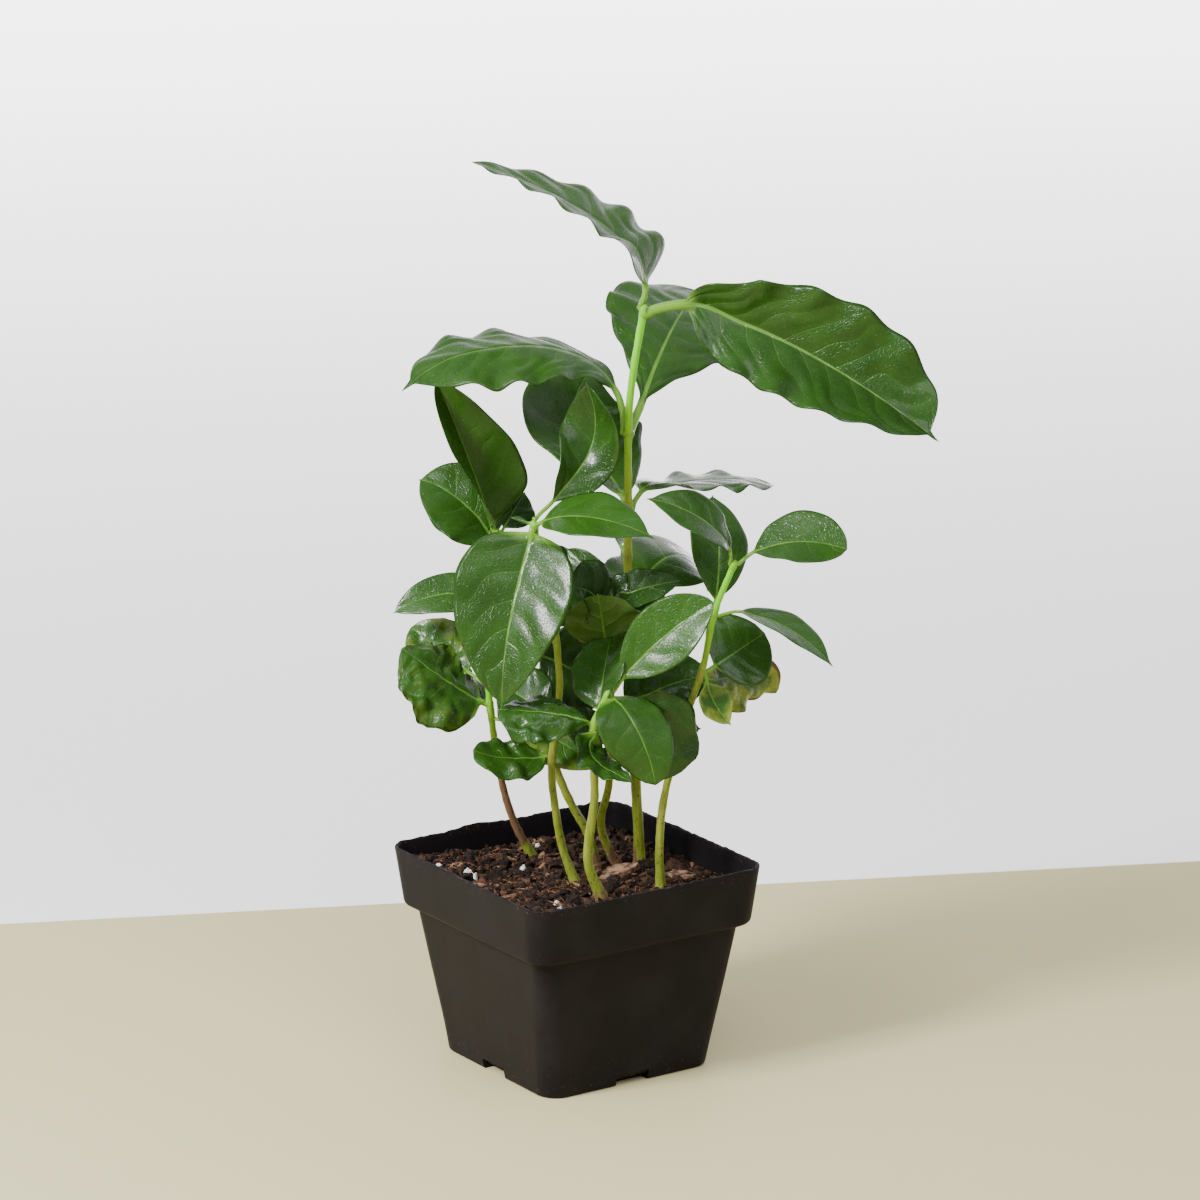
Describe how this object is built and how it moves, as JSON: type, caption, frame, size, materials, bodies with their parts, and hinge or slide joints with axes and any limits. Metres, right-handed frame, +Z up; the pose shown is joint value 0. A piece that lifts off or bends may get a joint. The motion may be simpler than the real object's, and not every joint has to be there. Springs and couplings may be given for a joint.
{
  "type": "potted coffee plant",
  "caption": "Young coffee plant: a clump of slender green stems with broad glossy drip-tipped leaves, in a square black nursery pot of peat soil.",
  "frame": {"origin": "centre of the pot's flat underside", "axes": "+Z up along the stems; X and Y along the sides of the square pot"},
  "size_m": [0.1529, 0.1476, 0.3247],
  "materials": {
    "pot_plastic": "matte black, lightly scuffed",
    "soil": "loose peat with bark chips",
    "stem": "green young bark, satin",
    "leaf": "glossy deep green with sunken veins",
    "old_leaf": "yellowing green, satin, puckered"
  },
  "bodies": {
    "root": {"front_leaf_dark": "leaf", "front_leaf_drooping": "leaf", "front_leaf_left": "leaf", "front_leaf_low": "leaf", "front_leaf_rising": "leaf", "front_leaf_round": "leaf", "inner_leaf_back": "leaf", "inner_leaf_flat": "leaf", "inner_leaf_front": "leaf", "inner_leaf_left": "leaf", "inner_leaf_low": "leaf", "inner_leaf_right": "leaf", "inner_leaf_turned": "leaf", "left_leaf_back": "leaf", "left_leaf_high": "old_leaf", "left_leaf_inner": "leaf", "left_leaf_low": "old_leaf", "middle_leaf_dark": "leaf", "middle_leaf_foot": "leaf", "middle_leaf_rear": "leaf", "middle_leaf_right": "leaf", "middle_leaf_shield": "leaf", "middle_leaf_upright": "leaf", "middle_leaf_young": "leaf", "pot": "pot_plastic", "right_leaf_arching": "leaf", "right_leaf_falling": "leaf", "right_leaf_folded": "old_leaf", "right_leaf_old": "old_leaf", "right_leaf_round": "leaf", "right_leaf_top": "leaf", "right_leaf_upright": "leaf", "slanting_leaf_back": "leaf", "slanting_leaf_far": "leaf", "slanting_leaf_foot": "leaf", "slanting_leaf_low": "leaf", "slanting_leaf_rear": "leaf", "slanting_leaf_round": "leaf", "slanting_leaf_side": "leaf", "slanting_leaf_upright": "leaf", "soil": "soil", "stem_front": "stem", "stem_inner": "stem", "stem_left": "stem", "stem_middle": "stem", "stem_right": "stem", "stem_slanting": "stem", "stem_tall": "stem", "tall_leaf_back": "leaf", "tall_leaf_behind": "leaf", "tall_leaf_dome": "leaf", "tall_leaf_far": "leaf", "tall_leaf_foot": "leaf", "tall_leaf_inner": "leaf", "tall_leaf_left": "leaf", "tall_leaf_level": "leaf", "tall_leaf_low": "old_leaf", "tall_leaf_rear": "leaf", "tall_leaf_top_left": "leaf", "tall_leaf_top_right": "leaf"}
  },
  "joints": []
}
